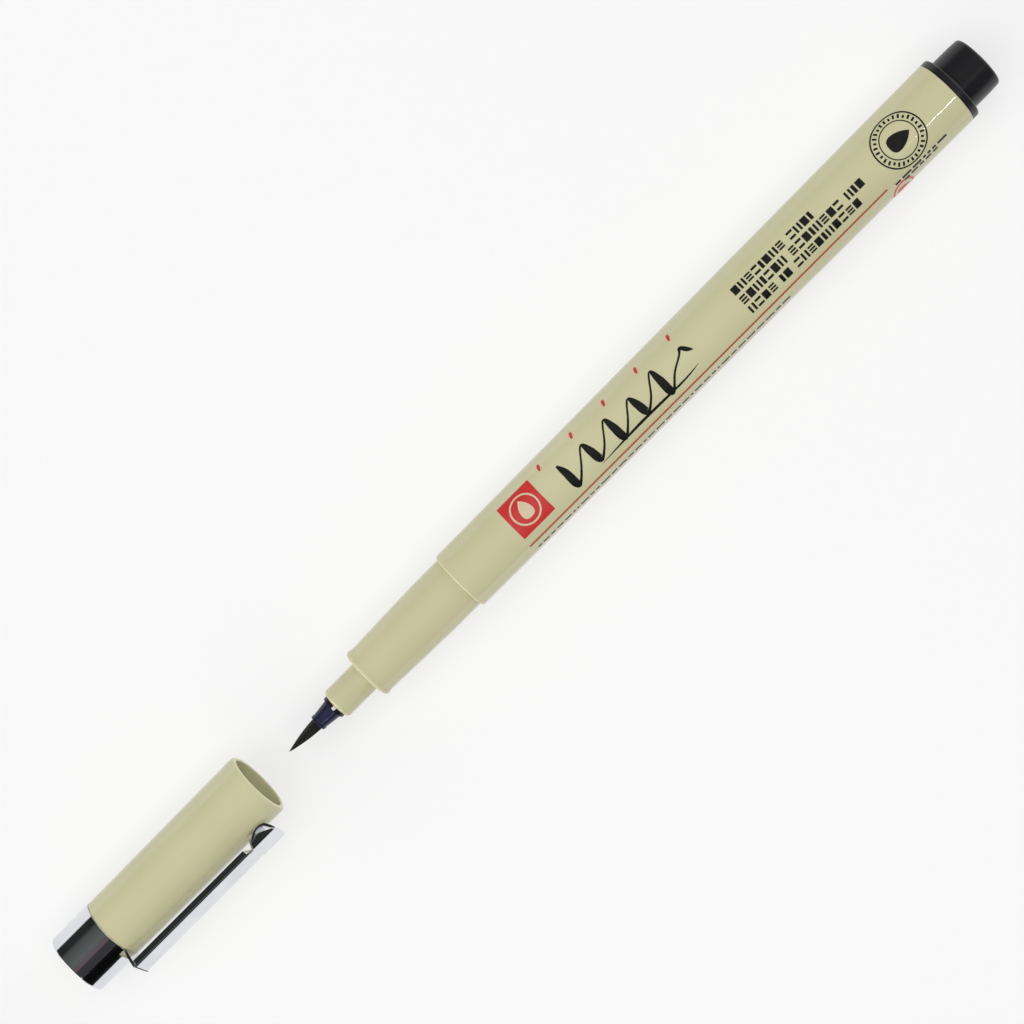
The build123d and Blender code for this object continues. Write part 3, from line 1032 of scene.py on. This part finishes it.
def make_end_disc():
    seat_x_disc = ferrule_end_x + 0.6 * MM
    stem_r = 2.0 * MM
    disc = turn(
        "end_disc",
        [
            (span("end_plug")[1], stem_r),
            (seat_x_disc, stem_r),
            (seat_x_disc, disc_r),
            (disc_end_x, disc_r),
            (disc_end_x, disc_r * 0.3),
            (disc_end_x + 0.05 * MM, disc_r * 0.24),
            (disc_end_x + 0.05 * MM, 0),
        ],
        [(disc_end_x, disc_r, 0.25 * MM)],
        sides=80,
        closed=True,
    )
    hand_over(disc, "cap", "cream_plastic", CREAM, "end_plug")


CLIP_TOP = 7.84 * MM  # from the pen's axis to the outside of the sheet
CLIP_SHEET = 0.4 * MM
CLIP_WIDTH = 3.4 * MM
CLIP_WALL = 1.13 * MM


def bend_channel():
    """The clip's top with its two side walls, as a surface on top of the cap."""
    top, wall, width = CLIP_TOP, CLIP_WALL, CLIP_WIDTH
    rear_x, front_x = clip_rear_x, clip_front_x
    middle_x, length = (rear_x + front_x) / 2, front_x - rear_x
    start_fresh()
    bpy.ops.mesh.primitive_cube_add(
        size=1, location=(middle_x, 0, top - wall / 2), scale=(length, width, wall)
    )
    clip = begin("clip")
    # Open the channel: only the top and the two side walls stay.
    pick(
        clip,
        "faces",
        lambda f: f.normal.z < -0.5 or abs(f.normal.x) > 0.5,
    )
    bpy.ops.mesh.delete(type="FACE")
    # Rings of edges where the walls stop.
    wall_rear_x, wall_front_x = rear_x + 0.45 * MM, front_x - 4.5 * MM
    for cut_x in (wall_rear_x, wall_front_x, wall_front_x - 1.2 * MM, front_x - 0.5 * MM):
        bpy.ops.mesh.select_all(action="SELECT")
        bpy.ops.mesh.bisect(plane_co=(cut_x, 0, 0), plane_no=(1, 0, 0))
    pick(
        clip,
        "faces",
        lambda f: abs(f.normal.y) > 0.5
        and (f.calc_center_median().x < wall_rear_x or f.calc_center_median().x > wall_front_x),
    )
    bpy.ops.mesh.delete(type="FACE")
    # The walls lean in a little towards each other.
    pick(clip, "verts", lambda v: v.co.z < top - wall / 2)
    lean_in = (width - 2 * wall * math.tan(math.radians(12))) / width
    bpy.ops.transform.resize(value=(1, lean_in, 1), center_override=(middle_x, 0, top))
    # The walls' front ends slope up to the sheet.
    pick(clip, "verts", lambda v: abs(v.co.x - wall_front_x) < 1e-6 and v.co.z < top - wall / 2)
    bpy.ops.transform.translate(value=(0, 0, wall * 0.72))
    # Past the walls the sheet is as wide as the channel's rounded edges, and its end is narrower still.
    pick(clip, "verts", lambda v: v.co.x > wall_front_x - 1e-6 and v.co.z > top - 1e-6)
    bpy.ops.transform.resize(value=(1, 0.955, 1), center_override=(front_x, 0, top))
    pick(clip, "verts", lambda v: v.co.x > front_x - 1e-6)
    bpy.ops.transform.resize(value=(1, 0.86, 1), center_override=(front_x, 0, top))
    return clip


def bend_riser(clip):
    """The sheet's rear edge goes down into the ferrule's notch."""
    top, rear_x = CLIP_TOP, clip_rear_x
    riser_foot = 4.3 * MM
    pick(clip, "edges", lambda e: all(v.co.x < rear_x + 1e-6 and v.co.z > top - 1e-6 for v in e.verts))
    drop_height = top - riser_foot
    last_share, last_lean = 0, 0
    for share, lean in ((0.12, -0.02), (0.55, 0.10), (1.0, 0.32)):
        step = (lean - last_lean) * MM, 0, -(share - last_share) * drop_height
        bpy.ops.mesh.extrude_region_move(TRANSFORM_OT_translate={"value": step, "orient_type": "GLOBAL"})
        last_share, last_lean = share, lean


def bend_foot(clip):
    """The sheet's front edge curls forward, down and back under, and touches the cap."""
    top, front_x = CLIP_TOP, clip_front_x
    pick(clip, "edges", lambda e: all(v.co.x > front_x - 1e-6 and v.co.z > top - 1e-6 for v in e.verts))
    foot_low = cap_mouth_r + CLIP_SHEET + 0.02 * MM
    curl = [
        (front_x + 0.0 * MM, top - 0.30 * MM),
        (front_x - 0.25 * MM, top - 0.95 * MM),
        (front_x - 0.85 * MM, foot_low + 0.42 * MM),
        (front_x - 1.5 * MM, foot_low + 0.05 * MM),
        (front_x - 2.2 * MM, foot_low),
        (front_x - 2.9 * MM, foot_low + 0.22 * MM),
        (front_x - 3.6 * MM, foot_low + 0.80 * MM),
        (front_x - 4.2 * MM, foot_low + 1.25 * MM),
    ]
    x, z = front_x, top
    for next_x, next_z in curl:
        bpy.ops.mesh.extrude_region_move(
            TRANSFORM_OT_translate={"value": (next_x - x, 0, next_z - z), "orient_type": "GLOBAL"}
        )
        x, z = next_x, next_z
    bpy.ops.mesh.select_all(action="SELECT")
    bpy.ops.mesh.remove_doubles(threshold=1e-7)
    bpy.ops.mesh.normals_make_consistent(inside=False)
    bpy.ops.object.mode_set(mode="OBJECT")


def round_corners(piece, name, width, segments, angle):
    """Add a bevel modifier for the edges that turn by more than an angle."""
    bevel = piece.modifiers.new(name, "BEVEL")
    bevel.width = width
    bevel.segments = segments
    bevel.limit_method = "ANGLE"
    bevel.angle_limit = math.radians(angle)


def make_clip():
    """Bent sheet: a channel with side walls, a riser into the notch and a foot under the free end."""
    clip = bend_channel()
    bend_riser(clip)
    bend_foot(clip)
    round_corners(clip, "bends", 0.32 * MM, 4, 50)
    thicken = clip.modifiers.new("sheet", "SOLIDIFY")
    thicken.thickness = CLIP_SHEET
    thicken.offset = -1
    thicken.use_even_offset = True
    round_corners(clip, "edges", 0.05 * MM, 2, 60)
    finish_modifiers(clip)
    swing_to_clip(clip)
    smooth(clip, 40)
    even = clip.modifiers.new("even_shading", "WEIGHTED_NORMAL")
    even.keep_sharp = True
    finish_modifiers(clip)
    clip.data.materials.clear()
    clip.data.materials.append(CHROME)
    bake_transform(clip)
    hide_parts("clip_arm", "clip_anchor")


def finish_inner_pieces():
    """The pieces inside keep their own shapes and take their finishes."""
    inner = {
        "brush_root": BRISTLE,
        "feed_rod": FIBRE,
        "ink_core": FIBRE,
        "core_film": FILM,
        "inner_cap": WHITE,
    }
    for node, material in inner.items():
        slots = frame["nodes"][node].material_slots
        for material_slot in slots:
            material_slot.material = material


# ---------------------------------------------------------------- floor, light and camera
def make_stage():
    start_fresh()
    bpy.ops.mesh.primitive_plane_add(size=6, location=(0, 0, cad_box[0].z))
    floor = bpy.context.object
    floor.name = "floor"
    bpy.ops.object.transform_apply(location=True, rotation=True, scale=True)
    f = Finish("light_table", Roughness=1.0, Emission_Strength=0.61)
    f.shader.inputs["Specular IOR Level"].default_value = 0.0
    f.shader.inputs["Emission Color"].default_value = (1, 1, 1, 1)
    f.colour(f.blend_colours(f.remap(f.noise(3, 2), 0, 1), (0.325, 0.325, 0.325), (0.335, 0.335, 0.335)))
    floor.data.materials.append(f.material)


def area_light(name, place, aim, size, power, shows_in_gloss, long=None):
    start_fresh()
    bpy.ops.object.light_add(type="AREA", location=place)
    lamp = bpy.context.object
    lamp.name = name
    lamp.data.shape = "RECTANGLE" if long else "DISK"
    lamp.data.size = size
    if long:
        lamp.data.size_y = long
    lamp.data.energy = power
    lamp.rotation_euler = (Vector(aim) - Vector(place)).to_track_quat("-Z", "Y").to_euler()
    lamp.visible_glossy = shows_in_gloss
    return lamp


def sky_value(tree, operation, first, second=None):
    node = tree.nodes.new("ShaderNodeMath")
    node.operation = operation
    for number, value in enumerate((first, second)):
        if isinstance(value, (int, float)):
            node.inputs[number].default_value = value
        elif value is not None:
            tree.links.new(value, node.inputs[number])
    return node.outputs[0]


GREY, GREEN, RED = (1, 1, 1.03), (0.92, 1, 0.95), (1.25, 0.85, 0.9)
CEILING = (  # degrees from straight up, positive to the clip's side, then brightness and tint
    (-90, 0.03, GREEN),
    (-62, 0.025, GREEN),
    (-50, 0.085, GREEN),
    (-12, 0.135, GREEN),
    (3, 0.115, GREY),
    (6, 0.115, RED),
    (11, 0.12, RED),
    (14, 0.05, GREY),
    (38, 0.04, GREY),
    (45, 0.004, GREY),
    (76, 0.004, GREY),
    (90, 0.02, GREY),
)
END_LIGHT = (  # from the cap's end of the room (0) to the tail's (1), and brightness
    (0.04, 3.2),
    (0.14, 0.3),
    (0.24, 0.24),
    (0.33, 0.0),
    (0.67, 0.0),
    (0.76, 0.24),
    (0.86, 0.3),
    (0.96, 2.2),
)


def sky_ramp(tree, source, stops):
    """A colour ramp over a value, from (place, colour) stops."""
    ramp = tree.nodes.new("ShaderNodeValToRGB")
    tree.links.new(source, ramp.inputs["Fac"])
    for number, (place_on_ramp, colour) in enumerate(stops):
        if number < 2:
            stop = ramp.color_ramp.elements[number]
            stop.position = place_on_ramp
        else:
            stop = ramp.color_ramp.elements.new(place_on_ramp)
        stop.color = (*colour, 1)
    return ramp.outputs["Color"]


def make_room():
    """What the metal sees: a dim ceiling, darker to the clip's side, and light towards both ends."""
    world = bpy.data.worlds.new("studio")
    world.use_nodes = True
    tree = world.node_tree
    place = tree.nodes.new("ShaderNodeTexCoord")
    parts = tree.nodes.new("ShaderNodeSeparateXYZ")
    tree.links.new(place.outputs["Generated"], parts.inputs[0])
    across = sky_value(tree, "MULTIPLY", parts.outputs["Y"], -1)
    angle = sky_value(tree, "ARCTAN2", across, parts.outputs["Z"])
    round_share = sky_value(tree, "ADD", sky_value(tree, "DIVIDE", angle, math.pi), 0.5)
    along_share = sky_value(tree, "ADD", sky_value(tree, "DIVIDE", parts.outputs["X"], 2), 0.5)
    ceiling = [
        ((degrees + 90) / 180, (level * tint[0], level * tint[1], level * tint[2]))
        for degrees, level, tint in CEILING
    ]
    ends = [(along, (level, level, level)) for along, level in END_LIGHT]
    total = tree.nodes.new("ShaderNodeMix")
    total.data_type = "RGBA"
    total.blend_type = "ADD"
    total.inputs["Factor"].default_value = 1
    tree.links.new(sky_ramp(tree, round_share, ceiling), total.inputs[6])
    tree.links.new(sky_ramp(tree, along_share, ends), total.inputs[7])
    tree.links.new(total.outputs[2], tree.nodes["Background"].inputs["Color"])
    bpy.context.scene.world = world


def make_light():
    area_light("overhead_light", (-0.05, 0.07, 0.75), (0, 0, 0), 1.1, 5.0, False)
    # A narrow lamp whose glint is seen near the tail.
    area_light("tail_glint", (0.207, -0.343, 0.75), (0.207, 0, 0), 0.024, 0.11, True, 0.008)
    # And one for the line of light along the brush holder.
    area_light("holder_glint", (-0.445, -0.615, 0.75), (-0.445, 0, 0), 0.05, 0.08, True, 0.10)
    make_room()
    bpy.context.scene.view_settings.view_transform = "Standard"


def make_camera():
    """Straight down, leaned a few degrees, with the pen running from lower left to upper right."""
    picture_right = Vector((0.7046, -0.7096, 0))
    picture_up = Vector((0.7096, 0.7046, 0))
    middle = Vector((11.9, 1.6, 0)) * MM
    distance, lean = 0.381, math.radians(5)
    place = middle + distance * (math.cos(lean) * Vector((0, 0, 1)) + math.sin(lean) * picture_up)
    back = (place - middle).normalized()
    up = back.cross(picture_right)
    start_fresh()
    bpy.ops.object.camera_add()
    camera = bpy.context.object
    camera.name = "camera"
    turned = Matrix((picture_right, up, back)).transposed().to_4x4()
    camera.matrix_world = Matrix.Translation(place) @ turned
    camera.data.lens = 97.7
    camera.data.sensor_width = 36
    camera.data.clip_start = 0.01
    bpy.context.scene.camera = camera


make_camera()
make_stage()
make_light()
make_barrel()
make_grip()
make_holder()
make_vent_ring()
make_brush()
make_tail_plug()
make_prints()
make_cap_tube()
make_ferrule()
make_end_disc()
make_clip()
finish_inner_pieces()
start_fresh()
